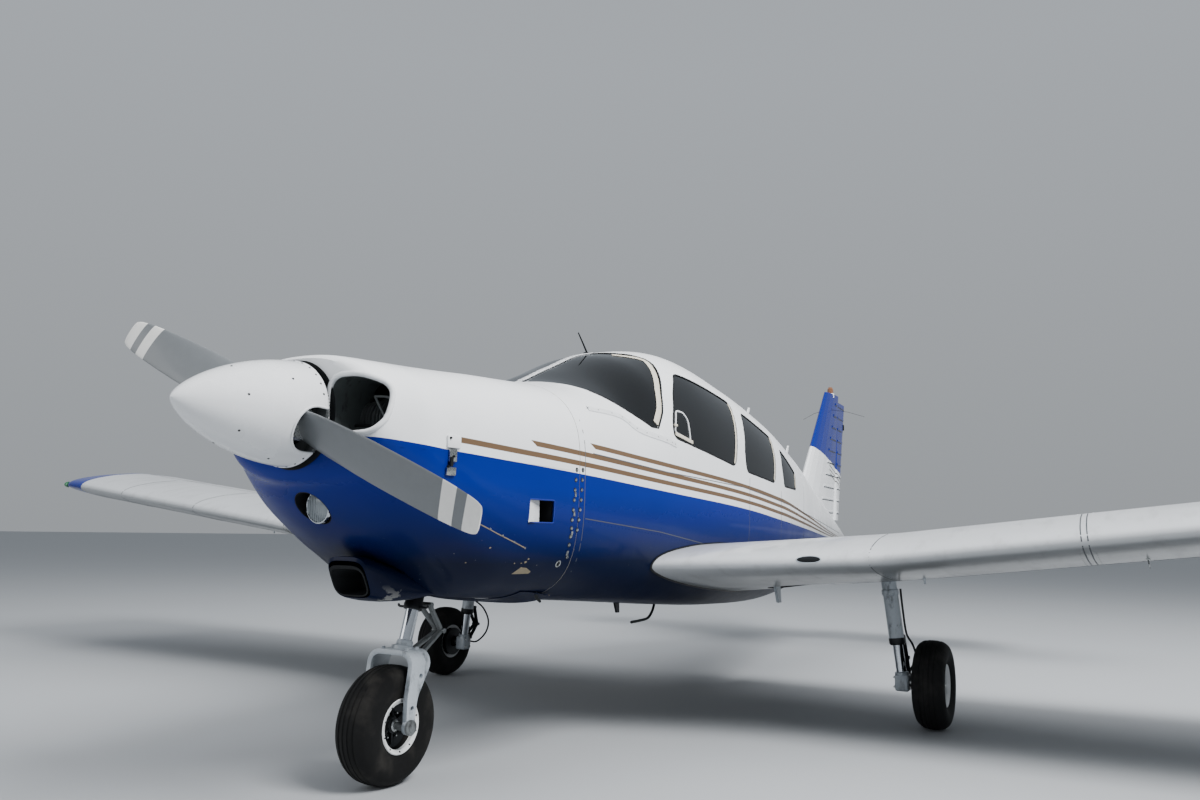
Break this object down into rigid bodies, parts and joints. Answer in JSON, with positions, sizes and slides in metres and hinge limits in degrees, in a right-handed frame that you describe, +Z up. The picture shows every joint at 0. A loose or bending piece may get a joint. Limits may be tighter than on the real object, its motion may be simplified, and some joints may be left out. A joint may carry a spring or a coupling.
{
  "type": "four-seat low-wing light aircraft with tricycle gear",
  "caption": "Low-wing light aircraft parked on its tricycle gear, with a propeller, cabin door, flaps, ailerons, rudder and all-moving tailplane that turn on their hinges.",
  "frame": {"origin": "on the ground below the middle of the bounding box", "axes": "+X to the aircraft's left (port), the nose points to -Y, +Z up"},
  "size_m": [9.8248, 7.69, 2.4043],
  "materials": {
    "white_enamel": "gloss enamel",
    "blue_enamel": "gloss enamel",
    "silver_enamel": "satin enamel",
    "white_cowl": "gloss enamel",
    "blue_cowl": "gloss enamel",
    "glass": "tinted acrylic",
    "propeller_grey": "satin paint",
    "engine": "cast",
    "panel_black": "matte",
    "seat_cloth": "woven",
    "lamp_red": "gloss",
    "tyre": "matte",
    "wheel_white": "satin paint",
    "gear_white": "gloss enamel",
    "steel": "satin"
  },
  "bodies": {
    "airframe": {"cabin_shell": "white_enamel", "tail_cone": "white_enamel", "cowl_upper": "white_cowl", "cowl_lower": "blue_cowl", "landing_light": "glass", "windshield_port": "glass", "windshield_starboard": "glass", "window_front_port": "glass", "window_middle_port": "glass", "window_rear_port": "glass", "window_middle_starboard": "glass", "window_rear_starboard": "glass", "engine_block": "engine", "instrument_panel": "panel_black", "front_seat_port": "seat_cloth", "front_seat_starboard": "seat_cloth", "rear_bench": "seat_cloth", "wing_port": "silver_enamel", "wing_starboard": "silver_enamel", "wing_tip_port": "blue_cowl", "wing_tip_starboard": "blue_cowl", "fin": "white_enamel", "beacon": "lamp_red", "nose_gear_mount": "steel", "main_leg_port": "gear_white", "main_leg_starboard": "gear_white"},
    "propeller_body": {"propeller": "propeller_grey", "spinner": "white_enamel"},
    "nose_leg_body": {"nose_leg": "gear_white"},
    "nose_wheel": {"nose_tyre": "tyre", "nose_hub": "wheel_white"},
    "main_wheel_port": {"main_port_tyre": "tyre", "main_port_hub": "wheel_white"},
    "main_wheel_starboard": {"main_starboard_tyre": "tyre", "main_starboard_hub": "wheel_white"},
    "cabin_door_body": {"cabin_door": "white_enamel", "window_front_starboard": "glass"},
    "baggage_door_body": {"baggage_door": "blue_enamel"},
    "flap_port_body": {"flap_port": "silver_enamel"},
    "flap_starboard_body": {"flap_starboard": "silver_enamel"},
    "aileron_port_body": {"aileron_port": "silver_enamel"},
    "aileron_starboard_body": {"aileron_starboard": "silver_enamel"},
    "rudder_body": {"rudder": "blue_enamel"},
    "stabilator_body": {"stabilator": "silver_enamel"}
  },
  "joints": [
    {"name": "propeller_spin", "type": "hinge", "parent": "airframe", "child": "propeller_body", "pos_m": [0, -3.412, 1.353], "axis": [0, 1, 0], "continuous": true},
    {"name": "nose_steer", "type": "hinge", "parent": "airframe", "child": "nose_leg_body", "pos_m": [0, -2.795, 0.2225], "axis": [0, 0.2756, 0.9613], "range_deg": [-30, 30]},
    {"name": "nose_wheel_spin", "type": "hinge", "parent": "nose_leg_body", "child": "nose_wheel", "pos_m": [0, -2.795, 0.2225], "axis": [1, 0, 0], "continuous": true},
    {"name": "main_wheel_port_spin", "type": "hinge", "parent": "airframe", "child": "main_wheel_port", "pos_m": [1.59, -0.435, 0.2225], "axis": [1, 0, 0], "continuous": true},
    {"name": "main_wheel_starboard_spin", "type": "hinge", "parent": "airframe", "child": "main_wheel_starboard", "pos_m": [-1.59, -0.435, 0.2225], "axis": [1, 0, 0], "continuous": true},
    {"name": "cabin_door_swing", "type": "hinge", "parent": "airframe", "child": "cabin_door_body", "pos_m": [-0.604, -1.448, 0.985], "axis": [0.1045, 0, 0.9945], "range_deg": [0, 70]},
    {"name": "baggage_door_swing", "type": "hinge", "parent": "airframe", "child": "baggage_door_body", "pos_m": [-0.568, -0.095, 1.256], "axis": [0.0535, 0.9975, -0.0462], "range_deg": [0, 80]},
    {"name": "flap_port_swing", "type": "hinge", "parent": "airframe", "child": "flap_port_body", "pos_m": [0.60279, 0.13, 0.72527], "axis": [-0.9925, 0, -0.1219], "range_deg": [0, 40]},
    {"name": "flap_starboard_swing", "type": "hinge", "parent": "airframe", "child": "flap_starboard_body", "pos_m": [-0.60279, 0.13, 0.72527], "axis": [-0.9925, 0, 0.1219], "range_deg": [0, 40]},
    {"name": "aileron_port_swing", "type": "hinge", "parent": "airframe", "child": "aileron_port_body", "pos_m": [0.60279, 0.13, 0.72527], "axis": [0.9925, 0, 0.1219], "range_deg": [-15, 30]},
    {"name": "aileron_starboard_swing", "type": "hinge", "parent": "airframe", "child": "aileron_starboard_body", "pos_m": [-0.60279, 0.13, 0.72527], "axis": [0.9925, 0, -0.1219], "range_deg": [-15, 30]},
    {"name": "rudder_swing", "type": "hinge", "parent": "airframe", "child": "rudder_body", "pos_m": [0, 3.363, 1.122], "axis": [0, 0.1474, 0.9891], "range_deg": [-27, 27]},
    {"name": "stabilator_swing", "type": "hinge", "parent": "airframe", "child": "stabilator_body", "pos_m": [0, 3.145, 0.93], "axis": [1, 0, 0], "range_deg": [-2, 14]}
  ],
  "couplings": [
    {"joint": "flap_starboard_swing", "follows": "flap_port_swing", "ratio": 1}
  ]
}
